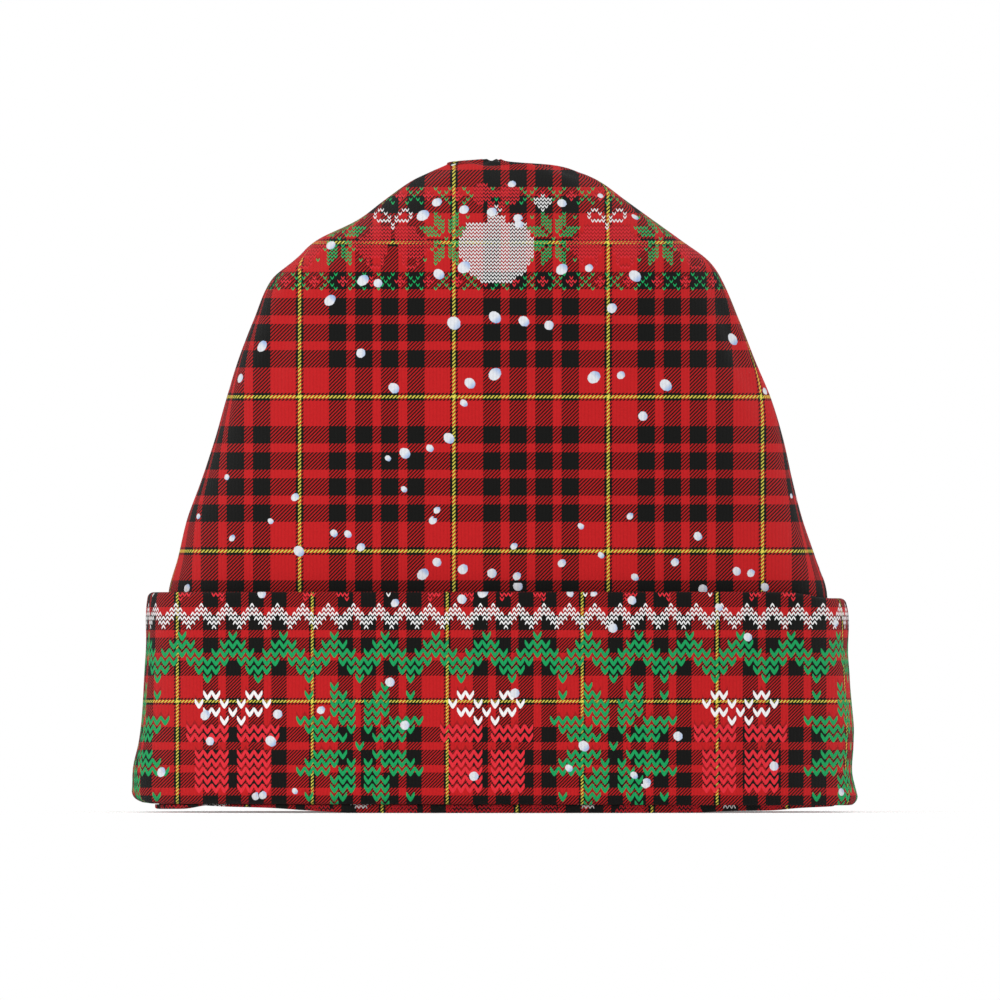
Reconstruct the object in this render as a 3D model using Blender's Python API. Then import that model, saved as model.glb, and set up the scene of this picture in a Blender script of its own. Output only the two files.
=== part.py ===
"""A cuffed beanie of printed double jersey, standing open end down.

X runs across the hat, Y from front to back and Z up. The origin is on the floor under the hat's middle.
"""

import math

import bmesh
import bpy

# Crown
HAT_HEIGHT = 0.205  # floor to tip
CROWN_WIDTH = 0.206  # across the crown where it comes out of the cuff
CROWN_DEPTH = 0.152  # front to back, at the same height
CROWN_WALL = 0.002  # printed jersey and its lining
PUCKER = 0.0006  # height of the small gathers round the tip
GATHERS = 6
FOLD_DEPTH = 0.0016  # the deepest of the soft folds in the crown

# Cuff
CUFF_TOP = 0.069  # the top fold, above the floor
CUFF_WALL = 0.003  # doubled jersey
CUFF_STANDOFF = 0.0031  # air between the crown and the cuff's top fold

# Hem
HEM_DROP = 0.0027  # how far the hem shows under the cuff
HEM_WALL = 0.003
HEM_RISE = 0.013  # the inside edge of the hem, above the floor
HEM_REACH = 0.0009  # how far the hem's foot passes under the cuff's roll
HEM_ROUND = 0.0008

GAP = 0.0003  # between two pieces that touch
PLAN_POWER = 2.3  # 2 would be an ellipse, and more is squarer
AROUND = 60
RING_STEP = 0.07  # the tallest step between two rings of the crown, as a share of its height

# The crown's sections. Height is a share of HAT_HEIGHT, width and lean are shares of CROWN_WIDTH / 2,
# depth of CROWN_DEPTH / 2 and pucker of PUCKER. Lean moves a section's middle to +X.
CROWN_ROWS = (
    # height, width, depth, lean, pucker
    (0.000, 1.053, 1.055, 0.000, 0.0),
    (0.100, 1.035, 1.035, 0.000, 0.0),
    (0.200, 1.018, 1.020, 0.000, 0.0),
    (0.337, 1.001, 1.000, 0.005, 0.0),
    (0.390, 0.967, 0.993, 0.001, 0.0),
    (0.450, 0.933, 0.980, -0.003, 0.0),
    (0.510, 0.891, 0.966, 0.002, 0.0),
    (0.570, 0.861, 0.947, 0.008, 0.0),
    (0.630, 0.827, 0.922, 0.010, 0.0),
    (0.690, 0.787, 0.885, 0.006, 0.0),
    (0.753, 0.738, 0.835, 0.004, 0.0),
    (0.815, 0.683, 0.765, 0.006, 0.0),
    (0.845, 0.630, 0.715, 0.016, 0.0),
    (0.876, 0.550, 0.650, 0.014, 0.0),
    (0.906, 0.452, 0.560, 0.028, 0.2),
    (0.937, 0.364, 0.450, 0.027, 0.5),
    (0.966, 0.280, 0.320, 0.026, 0.8),
    (0.981, 0.221, 0.240, 0.026, 1.0),
    (0.991, 0.158, 0.170, 0.003, 1.0),
    (0.996, 0.092, 0.105, -0.030, 1.0),
    (1.000, 0.028, 0.034, -0.011, 0.6),
)
TIP_PIT = 0.995  # height of the dimple in the middle of the gathers, as a share of HAT_HEIGHT

# Soft upright folds in the crown. Turn is in degrees from +X towards +Y, so -90 is the front. Spread is the
# half-width of the fold in degrees, depth a share of FOLD_DEPTH, and low and high shares of HAT_HEIGHT.
CROWN_FOLDS = (
    # turn, spread, depth, low, high
    (-62, 9, 0.8, 0.38, 0.93),
    (-112, 8, 0.4, 0.36, 0.70),
    (-146, 9, 0.7, 0.55, 0.95),
    (-20, 10, 0.6, 0.50, 0.92),
    (38, 11, 1.0, 0.40, 0.90),
    (84, 9, 0.6, 0.36, 0.80),
    (137, 11, 1.0, 0.45, 0.93),
)

# The cuff's distance from the crown. Height is a share of the cuff's own height, standoff of CUFF_STANDOFF.
CUFF_ROWS = (
    # height, standoff
    (0.00, 0.66),
    (0.15, 0.56),
    (0.30, 0.50),
    (0.50, 0.52),
    (0.72, 0.70),
    (0.90, 0.95),
    (1.00, 1.00),
)
FACE_STEPS = 6
CORNER_STEPS = 3
FOLD_STEPS = 4

COLOURS = {"crown": "C82426", "cuff": "C82426", "hem_fold": "A01E20"}
ROUGHNESS = 0.85


# Reading the tables


def read_rows(rows, at):
    """The columns of a table at a height between its rows, on one smooth curve through them."""
    at = min(max(at, rows[0][0]), rows[-1][0])
    upper = next(i for i in range(1, len(rows)) if at <= rows[i][0])
    low, high = rows[upper - 1], rows[upper]
    before, after = rows[max(upper - 2, 0)], rows[min(upper + 1, len(rows) - 1)]
    span = high[0] - low[0]
    t = (at - low[0]) / span
    columns = []
    for column in range(1, len(low)):
        start = (high[column] - before[column]) / (high[0] - before[0]) * span
        end = (after[column] - low[column]) / (after[0] - low[0]) * span
        rise = high[column] - low[column]
        ease = t * t * (3 - 2 * t)
        columns.append(low[column] + rise * ease + t * (1 - t) * (start * (1 - t) - end * t))
    return columns


def bump(distance):
    """1 at the middle of a fold and 0 from 1 outwards, smooth all the way."""
    return (math.cos(math.pi * min(abs(distance), 1.0)) + 1) / 2


def fold_depth(turn, share):
    """How far the crown is pressed in by its soft folds, at a turn in degrees and a share of the height."""
    depth = 0.0
    for middle, spread, part, low, high in CROWN_FOLDS:
        across = (turn - middle + 180) % 360 - 180
        along = (2 * share - low - high) / (high - low)
        depth += part * FOLD_DEPTH * bump(across / spread) * bump(along)
    return depth


# The plan of a section


def crown_bottom():
    """The height of the skirt's lower edge, which stands on the roll inside the cuff."""
    return HEM_DROP + CUFF_WALL + GAP


def crown_section(z, inset, grow=0.0):
    """The crown's half-width, half-depth, lean, pucker and share of the height at z.

    Inset is 0 for its outer face and CROWN_WALL for its inner one, and grow is a distance outside that face.
    """
    bottom = crown_bottom()
    share = (bottom + (z - bottom) * (HAT_HEIGHT - bottom) / (HAT_HEIGHT - inset - bottom)) / HAT_HEIGHT
    width, depth, lean, pucker = read_rows(CROWN_ROWS, share)
    half_width = width * (CROWN_WIDTH / 2 - inset) + grow
    half_depth = depth * (CROWN_DEPTH / 2 - inset) + grow
    return half_width, half_depth, lean * CROWN_WIDTH / 2, pucker * PUCKER, share


def plan_point(turn, half_width, half_depth):
    """A point of a rounded-square ring, half_width by half_depth, at a turn in radians."""
    x, y = math.cos(turn), math.sin(turn)
    power = 2 / PLAN_POWER
    return half_width * math.copysign(abs(x) ** power, x), half_depth * math.copysign(abs(y) ** power, y)


# Lofting ring by ring


def place_ring(verts, turns, z, size, folded):
    """Puts a ring's vertices at height z, on the plan of that size, pressed in by the crown's folds."""
    half_width, half_depth, lean, pucker, share = size
    for vert in verts:
        turn = vert[turns]
        press = fold_depth(math.degrees(turn), share) if folded else 0.0
        x, y = plan_point(turn, half_width - press, half_depth - press)
        vert.co = (x + lean, y, z + pucker * (math.cos(GATHERS * turn) - 1) / 2)


def loft(bm, turns, rings, folded=False):
    """Extrudes one ring into the next, in an empty bm, and gives the edges of the first and the last."""
    verts = bmesh.ops.create_circle(bm, segments=AROUND, radius=1.0)["verts"]
    for vert in verts:
        vert[turns] = math.atan2(vert.co.y, vert.co.x)
    first = bm.edges[:]
    place_ring(verts, turns, *rings[0], folded)
    edges = first
    for ring in rings[1:]:
        grown = bmesh.ops.extrude_edge_only(bm, edges=edges)["geom"]
        verts = [item for item in grown if isinstance(item, bmesh.types.BMVert)]
        new = set(verts)
        edges = [edge for edge in bm.edges if new.issuperset(edge.verts)]
        place_ring(verts, turns, *ring, folded)
    return first, edges


def cap(bm, edges, z):
    """Closes a ring with a fan of triangles that meet at height z."""
    face = bmesh.ops.holes_fill(bm, edges=edges, sides=0)["faces"]
    middle = bmesh.ops.poke(bm, faces=face)["verts"][0]
    middle.co.z = z


def finish(name, bm):
    """The named object of a closed mesh, shaded smooth, with its own material."""
    bmesh.ops.recalc_face_normals(bm, faces=bm.faces)
    mesh = bpy.data.meshes.new(name)
    bm.to_mesh(mesh)
    bm.free()
    mesh.shade_smooth()
    mesh.set_sharp_from_angle(angle=math.radians(50))
    mesh.materials.append(jersey(name))
    obj = bpy.data.objects.new(name, mesh)
    bpy.context.collection.objects.link(obj)
    return obj


def jersey(name):
    """Matt printed jersey in one plain colour."""
    material = bpy.data.materials.new(name)
    material.use_nodes = True
    shader = material.node_tree.nodes["Principled BSDF"]
    values = [int(COLOURS[name][i : i + 2], 16) / 255 for i in (0, 2, 4)]
    shader.inputs["Base Color"].default_value = (*[value**2.2 for value in values], 1)
    shader.inputs["Roughness"].default_value = ROUGHNESS
    shader.inputs["Metallic"].default_value = 0.0
    return material


# Crown


def crown_heights(top):
    """The heights of the crown's rings, one on each row above the skirt's edge and more between tall rows."""
    bottom = crown_bottom()
    shares = [bottom / HAT_HEIGHT] + [row[0] for row in CROWN_ROWS if row[0] > bottom / HAT_HEIGHT]
    heights = [bottom]
    for low, high in zip(shares, shares[1:]):
        steps = max(1, math.ceil((high - low) / RING_STEP))
        heights += [HAT_HEIGHT * (low + (high - low) * step / steps) for step in range(1, steps + 1)]
    return [bottom + (z - bottom) * (top - bottom) / (HAT_HEIGHT - bottom) for z in heights]


def make_crown():
    bm = bmesh.new()
    turns = bm.verts.layers.float.new("turn")
    outside = [(z, crown_section(z, 0.0)) for z in crown_heights(HAT_HEIGHT)]
    inside = []
    for z in crown_heights(HAT_HEIGHT - CROWN_WALL)[:-1]:
        half_width, half_depth, lean, _, share = crown_section(z, CROWN_WALL)
        inside.append((z, (half_width, half_depth, lean, 0.0, share)))
    outer_top, inner_top = loft(bm, turns, outside[::-1] + inside, folded=True)
    cap(bm, outer_top, HAT_HEIGHT * TIP_PIT)
    cap(bm, inner_top, inside[-1][0])
    return finish("crown", bm)


# Cuff


def standoff(z):
    """The air between the crown and the cuff's inner face, at height z."""
    share = (z - HEM_DROP) / (CUFF_TOP - HEM_DROP)
    return CUFF_STANDOFF * read_rows(CUFF_ROWS, share)[0]


def cuff_ring(z, out):
    """A ring at z, at a distance outside the crown."""
    return z, crown_section(max(z, crown_bottom()), 0.0, out)


def make_cuff():
    roll_top = HEM_DROP + CUFF_WALL
    fold = CUFF_WALL / 2
    fold_middle = CUFF_TOP - fold
    inner_low, inner_high = GAP + standoff(HEM_DROP), GAP + standoff(fold_middle)
    lip = crown_section(crown_bottom(), CROWN_WALL)[0] - crown_section(crown_bottom(), 0.0)[0]
    face = [roll_top + (fold_middle - roll_top) * step / FACE_STEPS for step in range(1, FACE_STEPS)]

    rings = [cuff_ring(HEM_DROP, lip)]
    for step in range(CORNER_STEPS + 1):
        angle = math.pi / 2 * step / CORNER_STEPS
        out = inner_low + CUFF_WALL * math.sin(angle)
        rings.append(cuff_ring(roll_top - CUFF_WALL * math.cos(angle), out))
    rings += [cuff_ring(z, GAP + standoff(z) + CUFF_WALL) for z in face]
    for step in range(FOLD_STEPS + 1):
        angle = math.pi * step / FOLD_STEPS
        out = inner_high + fold + fold * math.cos(angle)
        rings.append(cuff_ring(fold_middle + fold * math.sin(angle), out))
    rings += [cuff_ring(z, GAP + standoff(z)) for z in reversed(face)]
    rings += [cuff_ring(roll_top, inner_low), cuff_ring(roll_top, lip)]

    bm = bmesh.new()
    turns = bm.verts.layers.float.new("turn")
    first, last = loft(bm, turns, rings)
    bmesh.ops.bridge_loops(bm, edges=first + last)
    return finish("cuff", bm)


# Hem


def hem_ring(z, out):
    """A ring at z, at a distance outside the crown's inner face."""
    return z, crown_section(max(z, crown_bottom()), CROWN_WALL, out)


def make_hem():
    foot_top = HEM_DROP - GAP
    outer, inner = -GAP, -GAP - HEM_WALL
    rings = [hem_ring(0.0, inner), hem_ring(0.0, HEM_REACH - HEM_ROUND)]
    for step in range(1, CORNER_STEPS + 1):
        angle = math.pi / 2 * step / CORNER_STEPS
        out = HEM_REACH - HEM_ROUND * (1 - math.sin(angle))
        rings.append(hem_ring(HEM_ROUND * (1 - math.cos(angle)), out))
    rings += [hem_ring(foot_top, HEM_REACH), hem_ring(foot_top, outer)]
    wall_top = HEM_RISE - HEM_WALL / 2
    rings.append(hem_ring(wall_top, outer))
    for step in range(1, FOLD_STEPS):
        angle = math.pi * step / FOLD_STEPS
        out = (outer + inner) / 2 + HEM_WALL / 2 * math.cos(angle)
        rings.append(hem_ring(wall_top + HEM_WALL / 2 * math.sin(angle), out))
    rings.append(hem_ring(wall_top, inner))

    bm = bmesh.new()
    turns = bm.verts.layers.float.new("turn")
    first, last = loft(bm, turns, rings)
    bmesh.ops.bridge_loops(bm, edges=first + last)
    return finish("hem_fold", bm)


for old in list(bpy.data.objects):
    bpy.data.objects.remove(old)
make_crown()
make_cuff()
make_hem()
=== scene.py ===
# %% [markdown]
# A cuffed beanie in printed jersey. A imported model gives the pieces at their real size, and this lesson makes
# the cloth that stands for them: a crown, the turned-up cuff and the hem that is turned under. The print is
# the hard part. It is cut flat and then sewn round a head, so its pattern is drawn in flat measures and each
# piece carries a map from its surface to the flat cloth.

# %% Load the frame
import bisect
import math
import random

import bmesh
import bpy
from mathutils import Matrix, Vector, kdtree, noise


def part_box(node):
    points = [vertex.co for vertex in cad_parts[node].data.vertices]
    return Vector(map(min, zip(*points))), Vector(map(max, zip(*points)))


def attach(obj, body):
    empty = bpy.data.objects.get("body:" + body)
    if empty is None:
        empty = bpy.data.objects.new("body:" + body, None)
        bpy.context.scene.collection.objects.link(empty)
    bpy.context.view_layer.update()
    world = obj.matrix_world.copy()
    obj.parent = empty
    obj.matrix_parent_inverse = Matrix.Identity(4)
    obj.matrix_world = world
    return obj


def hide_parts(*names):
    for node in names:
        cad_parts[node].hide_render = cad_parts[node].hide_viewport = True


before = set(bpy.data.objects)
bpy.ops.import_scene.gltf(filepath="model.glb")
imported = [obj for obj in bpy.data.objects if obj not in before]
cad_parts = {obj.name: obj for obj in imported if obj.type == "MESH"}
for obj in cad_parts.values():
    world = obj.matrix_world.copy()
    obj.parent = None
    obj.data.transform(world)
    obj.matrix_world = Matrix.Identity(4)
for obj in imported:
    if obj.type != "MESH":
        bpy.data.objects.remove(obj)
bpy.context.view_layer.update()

# %% [markdown]
# The sizes come from the three solids, so the cloth fits them. The crown's skirt stands on the cuff's roll,
# and the difference of the two heights is the thickness of the cuff's doubled cloth.

# %% Sizes from the frame, in metres
GAP = 0.0003
(_, crown_front, skirt_foot), (crown_side, _, hat_height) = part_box("crown")
(_, _, cuff_foot), (_, _, cuff_top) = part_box("cuff")
(_, _, _), (_, _, hem_top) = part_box("hem_fold")
cuff_wall = skirt_foot - GAP - cuff_foot
crown_wall = 0.002
cuff_standoff = 0.0031
hem_wall = 0.003
hem_reach = 0.0009
print(f"height {hat_height:.4f}, cuff {cuff_foot:.4f} to {cuff_top:.4f}, cuff wall {cuff_wall:.4f}")

# %% [markdown]
# The photograph is measured in pixels. Its hat is 653 pixels tall, its middle is at 495 across and it stands
# at 812 down. The camera looks from 12 m away and 5 cm above the floor, and the print on the hat's front is
# nearer to it than the hat's outline by half the hat's depth, so its places and sizes shrink a little towards
# the camera's line of sight.

# %% Photograph scale
PHOTO_FRAME = 1000
PHOTO_TALL, PHOTO_MIDDLE, PHOTO_FLOOR = 653, 495, 812
CAMERA_FAR = 12.0
CAMERA_HEIGHT = 0.05
FRONT_NEARER = 0.08
outline_pixel = hat_height / PHOTO_TALL
frame_middle = PHOTO_FRAME / 2
camera_across = (frame_middle - PHOTO_MIDDLE) * outline_pixel
nearer = 1 - FRONT_NEARER / CAMERA_FAR
pixel = outline_pixel * nearer


def across(x):
    """Where a pixel column of the photograph lies on the hat's front, in metres from its middle."""
    return camera_across + (x - frame_middle) * pixel


def up(y):
    """Where a pixel row lies on the hat's front, in metres above the floor."""
    return CAMERA_HEIGHT + ((PHOTO_FLOOR - y) * outline_pixel - CAMERA_HEIGHT) * nearer


print(f"one pixel is {pixel * 1000:.4f} mm")

# %% [markdown]
# The crown is a stack of rounded rings. This table gives each ring's half-width and half-depth as shares of
# the ring where the crown comes out of the cuff, how far its middle leans to the right, and how strongly
# the gathers at the tip show. A smooth curve through the rows gives every ring between.

# %% The crown's rings
CROWN_ROWS = (
    # height, width, depth, lean, pucker
    (0.000, 1.053, 1.055, 0.000, 0.0),
    (0.100, 1.035, 1.035, 0.000, 0.0),
    (0.200, 1.018, 1.020, 0.000, 0.0),
    (0.337, 1.003, 1.000, 0.009, 0.0),
    (0.390, 0.970, 0.993, 0.007, 0.0),
    (0.450, 0.936, 0.980, 0.000, 0.0),
    (0.510, 0.899, 0.966, 0.007, 0.0),
    (0.570, 0.867, 0.947, 0.014, 0.0),
    (0.630, 0.832, 0.922, 0.012, 0.0),
    (0.690, 0.788, 0.885, 0.005, 0.0),
    (0.753, 0.741, 0.835, 0.004, 0.0),
    (0.815, 0.689, 0.765, 0.003, 0.0),
    (0.845, 0.633, 0.715, 0.016, 0.0),
    (0.876, 0.556, 0.650, 0.008, 0.0),
    (0.906, 0.453, 0.560, 0.028, 0.2),
    (0.937, 0.368, 0.450, 0.029, 0.5),
    (0.966, 0.287, 0.320, 0.031, 0.8),
    (0.981, 0.222, 0.240, 0.028, 1.0),
    (0.991, 0.162, 0.170, 0.013, 1.0),
    (0.996, 0.090, 0.103, -0.043, 1.0),
    (1.000, 0.028, 0.034, -0.011, 0.6),
)
TIP_PIT = 0.995
PUCKER = 0.0009
GATHERS = 6


def read_rows(rows, at):
    """The columns of a table at a height between its rows, on one smooth curve through them."""
    at = min(max(at, rows[0][0]), rows[-1][0])
    upper = next(i for i in range(1, len(rows)) if at <= rows[i][0])
    low, high = rows[upper - 1], rows[upper]
    before, after = rows[max(upper - 2, 0)], rows[min(upper + 1, len(rows) - 1)]
    span = high[0] - low[0]
    t = (at - low[0]) / span
    columns = []
    for column in range(1, len(low)):
        start = (high[column] - before[column]) / (high[0] - before[0]) * span
        end = (after[column] - low[column]) / (after[0] - low[0]) * span
        rise = high[column] - low[column]
        smooth = t * t * (3 - 2 * t)
        columns.append(low[column] + rise * smooth + t * (1 - t) * (start * (1 - t) - end * t))
    return columns


foot_width, foot_depth = read_rows(CROWN_ROWS, skirt_foot / hat_height)[:2]
crown_half_width = crown_side / foot_width
crown_half_depth = -crown_front / foot_depth
print(f"crown {crown_half_width * 2:.4f} wide and {crown_half_depth * 2:.4f} deep above the cuff")

# %% [markdown]
# Jersey never hangs as evenly as a turned solid. Three things break the evenness: the soft upright folds of
# the solid, a slow unevenness of about half a millimetre, and the pinch of the side seams. All of them are
# small moves inwards or outwards of a ring's point, so they are one function each of the place on the hat.

# %% Folds, unevenness and seams
CROWN_FOLDS = (
    # turn, spread, depth, low, high
    (-62, 9, 0.8, 0.38, 0.93),
    (-112, 8, 0.4, 0.36, 0.70),
    (-146, 9, 0.7, 0.55, 0.95),
    (-20, 10, 0.6, 0.50, 0.92),
    (38, 11, 1.0, 0.40, 0.90),
    (84, 9, 0.6, 0.36, 0.80),
    (137, 11, 1.0, 0.45, 0.93),
)
FOLD_DEPTH = 0.0016
SWELL = 0.00096
SWELL_LENGTH = 0.034
SWELL_ROUND = 0.09
SEAM_DEPTH = 0.0007
SEAM_HALF = 0.0011
SEAM_STITCH = 0.003
STITCH_SHARE = 0.2


def bump(distance):
    """1 at the middle of a fold and 0 from 1 outwards, smooth all the way."""
    return (math.cos(math.pi * min(abs(distance), 1.0)) + 1) / 2


def ease(value, low, high):
    """0 below low and 1 above high, smooth between."""
    t = min(max((value - low) / (high - low), 0.0), 1.0)
    return t * t * (3 - 2 * t)


def press_in(turn, share):
    """How far the crown's soft folds press it in."""
    depth = 0.0
    for middle, spread, part, low, high in CROWN_FOLDS:
        round_way = (math.degrees(turn) - middle + 180) % 360 - 180
        up_way = (2 * share - low - high) / (high - low)
        depth += part * FOLD_DEPTH * bump(round_way / spread) * bump(up_way)
    return depth


def swell(turn, z, seed):
    """A slow unevenness of the cloth. Its pattern goes round on a circle, so it closes."""
    place = Vector((SWELL_ROUND * math.cos(turn) + seed, SWELL_ROUND * math.sin(turn), z)) / SWELL_LENGTH
    return SWELL * noise.noise(place)


def seam_pinch(y, z):
    """The groove of a side seam, a little deeper at each of its stitches."""
    stitch = 1 - STITCH_SHARE + STITCH_SHARE * math.cos(2 * math.pi * z / SEAM_STITCH)
    return SEAM_DEPTH * stitch * math.exp(-((y / SEAM_HALF) ** 2))


print(f"{len(CROWN_FOLDS)} folds, the deepest {FOLD_DEPTH * 1000:.1f} mm")

# %% [markdown]
# A ring is a circle whose points are moved to a rounded square. One ring is extruded into the next, from one
# face of the piece over its edge to the other, which gives closed cloth of a real thickness with no joins to
# mend. The columns stand closer together beside the two side seams, where the groove is narrow.

# %% Rings and loft
PLAN_POWER = 2.3
EVEN_COLUMNS = 240
BESIDE_SEAM = (0.003, 0.007, 0.013)
TURNS = sorted(
    [2 * math.pi * i / EVEN_COLUMNS - math.pi for i in range(EVEN_COLUMNS)]
    + [seam + side for seam in (0.0, -math.pi) for side in BESIDE_SEAM]
    + [seam - side for seam in (0.0, math.pi) for side in BESIDE_SEAM]
)


def plan_point(turn, half_width, half_depth):
    """A point of a rounded-square ring, at a turn in radians from +X."""
    x, y = math.cos(turn), math.sin(turn)
    power = 2 / PLAN_POWER
    return half_width * math.copysign(abs(x) ** power, x), half_depth * math.copysign(abs(y) ** power, y)


def loft(bm, rings):
    """Extrudes a ring of points into the next. A ring is its plan and a function from a turn to a place."""
    columns = bm.verts.layers.int.new("column")
    bm.loops.layers.uv.new("print")
    verts = bmesh.ops.create_circle(bm, segments=len(TURNS), radius=1.0)["verts"]
    for column, vert in enumerate(verts):
        vert[columns] = column
    first = edges = bm.edges[:]
    grid = []
    for _, place in rings:
        if grid:
            grown = bmesh.ops.extrude_edge_only(bm, edges=edges)["geom"]
            verts = [item for item in grown if isinstance(item, bmesh.types.BMVert)]
            new = set(verts)
            grown_edges = [item for item in grown if isinstance(item, bmesh.types.BMEdge)]
            edges = [edge for edge in grown_edges if new.issuperset(edge.verts)]
        verts.sort(key=lambda vert: vert[columns])
        for vert in verts:
            vert.co = place(TURNS[vert[columns]])
        grid.append(verts)
    return grid, first, edges


def in_order(bm):
    """Sorts edges and faces by their corners, since an extrusion leaves them in another order each run."""
    bm.verts.index_update()
    for sequence in (bm.edges, bm.faces):
        ordered = sorted(sequence, key=lambda item: sorted(vert.index for vert in item.verts))
        for number, item in enumerate(ordered):
            item.index = number
        sequence.sort()


def cap(bm, edges, z):
    """Closes a ring with a fan of triangles that meet at height z."""
    face = bmesh.ops.holes_fill(bm, edges=edges, sides=0)["faces"]
    middle = bmesh.ops.poke(bm, faces=face)["verts"][0]
    middle.co.z = z


print(f"{len(TURNS)} columns round the hat")

# %% [markdown]
# The map to flat cloth. Each piece is a front and a back panel that meet at the side seams. From a panel's
# middle outwards, the print keeps the distance that is seen from the front, as in the photograph, until the
# cloth has turned most of the way to the side. From there it goes back to the length of the cloth. Upwards
# it follows the cloth in a like way. The map is a UV layer in metres, so patterns are drawn at real size.

# %% Map to flat cloth
TURNED = 0.40
RELAXED = 0.90
LEAST_UP = 0.40
BACK_SHIFT = 0.0155


def seen_place(point):
    """Where a point is seen from in front or from behind, across and up, at the depth of the pixels."""
    nearness = nearer / (1 - abs(point.y) / CAMERA_FAR)
    x = camera_across + (point.x - camera_across) * nearness
    return x, CAMERA_HEIGHT + (point.z - CAMERA_HEIGHT) * nearness


def unroll_ring(plan, verts, panel):
    """The flat distance across, for each column of one panel of a ring. The front is -1 and the back 1."""
    places = [plan_point(turn, *plan) for turn in TURNS]
    shown = [seen_place(vert.co)[0] for vert in verts]
    start = bisect.bisect_left(TURNS, panel * math.pi / 2)
    flat = {start: -panel * shown[start] + (BACK_SHIFT if panel > 0 else 0.0)}
    for step in (1, -1):
        here = start
        while here == start or abs(math.sin(TURNS[here])) > 1e-6:
            there = (here + step) % len(TURNS)
            seen = -panel * step * (shown[there] - shown[here])
            length = math.dist(places[there], places[here])
            square = abs(places[there][0] - places[here][0]) / length
            least = RELAXED + (TURNED - RELAXED) * ease(square, 0.0, TURNED)
            flat[there] = flat[here] + step * max(seen, least * length)
            here = there
    return flat


def unroll_rows(grid, anchor, direction):
    """The flat distance up, for each ring at the front's middle. It is the height seen at the anchor ring."""
    middle = bisect.bisect_left(TURNS, -math.pi / 2)
    places = [verts[middle].co for verts in grid]
    shown = [seen_place(place)[1] for place in places]
    flat = {anchor: shown[anchor]}
    for step, last in ((1, len(grid) - 1), (-1, 0)):
        row = anchor
        while row != last:
            seen = abs(shown[row + step] - shown[row])
            least = LEAST_UP * (places[row + step] - places[row]).length
            flat[row + step] = flat[row] + step * direction * max(seen, least)
            row += step
    return [flat[row] - shown[row] for row in range(len(grid))]


def lay_flat(bm, rings, grid, anchor, direction):
    """Writes the flat place of every corner of every face into the UV layer."""
    flat_map = bm.loops.layers.uv["print"]
    rows = {vert: row for row, verts in enumerate(grid) for vert in verts}
    columns = bm.verts.layers.int["column"]
    raised = unroll_rows(grid, anchor, direction)
    sideways = {}
    for panel in (-1, 1):
        sideways[panel] = [unroll_ring(plan, verts, panel) for (plan, _), verts in zip(rings, grid)]
    for face in bm.faces:
        panel = -1 if face.calc_center_median().y < 0 else 1
        known = [loop for loop in face.loops if loop.vert in rows]
        for loop in known:
            row = rows[loop.vert]
            height = seen_place(loop.vert.co)[1] + raised[row]
            loop[flat_map].uv = (sideways[panel][row][loop.vert[columns]], height)
        for loop in face.loops:
            if loop not in known:
                total = sum((other[flat_map].uv for other in known), Vector((0, 0)))
                loop[flat_map].uv = total / len(known)


print("panels meet at the sides, and the back's print is shifted by", BACK_SHIFT * 1000, "mm")

# %% [markdown]
# Snow is printed all over the hat as round dots with a light-blue shade on one side. On the front they are
# placed from the photograph, by the pixel across and down and the diameter in tenths of a millimetre. The back
# and sides get a scatter of the same sizes. Each face of the cloth keeps the dot that is nearest to it, as its
# place on the hat and its radius, and the material draws it.

# %% Snow dots listed one by one
SNOW = (
    # across, down, diameter
    (511, 183, 26), (463, 208, 32), (436, 201, 32), (422, 214, 40), (491, 211, 32),
    (517, 217, 30), (518, 223, 28), (561, 202, 30), (600, 194, 22), (634, 216, 24), (330, 244, 34),
    (438, 273, 34), (463, 266, 40), (561, 268, 36), (588, 267, 26), (634, 275, 38), (362, 279, 36),
    (377, 282, 28), (329, 299, 36), (494, 316, 38), (453, 322, 42), (523, 320, 34), (548, 324, 30),
    (611, 307, 32), (261, 345, 36), (360, 352, 30), (239, 377, 30), (393, 387, 34), (469, 382, 34),
    (494, 373, 40), (593, 376, 40), (620, 374, 26), (665, 384, 38), (732, 338, 38), (463, 402, 24),
    (642, 415, 30), (448, 437, 34), (429, 447, 24), (404, 452, 34), (387, 457, 20), (764, 390, 26),
    (226, 476, 20), (294, 496, 26), (403, 488, 20), (436, 509, 22), (432, 519, 26), (197, 515, 20),
    (270, 520, 20), (231, 537, 22), (298, 550, 34), (333, 532, 24), (347, 533, 24), (360, 546, 26),
    (580, 525, 20), (629, 515, 22), (697, 535, 28), (790, 495, 18), (462, 568, 32), (491, 572, 30),
    (422, 573, 36), (436, 561, 28), (516, 575, 26), (561, 562, 26), (600, 554, 20), (634, 576, 24),
    (674, 561, 26), (736, 570, 28), (750, 572, 26), (186, 587, 26), (513, 545, 22), (517, 585, 30),
    (261, 593, 28), (461, 598, 30), (482, 592, 36), (593, 592, 22), (702, 588, 30), (764, 586, 28),
    (394, 602, 26), (569, 593, 28), (631, 599, 28), (612, 627, 30), (747, 636, 28), (718, 606, 24),
    (835, 622, 24), (389, 681, 30), (514, 692, 30), (204, 714, 32), (277, 713, 30), (320, 709, 26),
    (404, 724, 30), (583, 745, 34), (677, 735, 30), (209, 740, 28), (270, 740, 34), (160, 771, 32),
    (473, 775, 30), (633, 774, 24), (645, 782, 32), (773, 765, 30), (840, 791, 26), (255, 795, 26),
    (262, 794, 26), (294, 790, 20), (568, 767, 24), (204, 802, 22), (362, 808, 20),
)
print(len(SNOW), "dots placed by hand")
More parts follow.
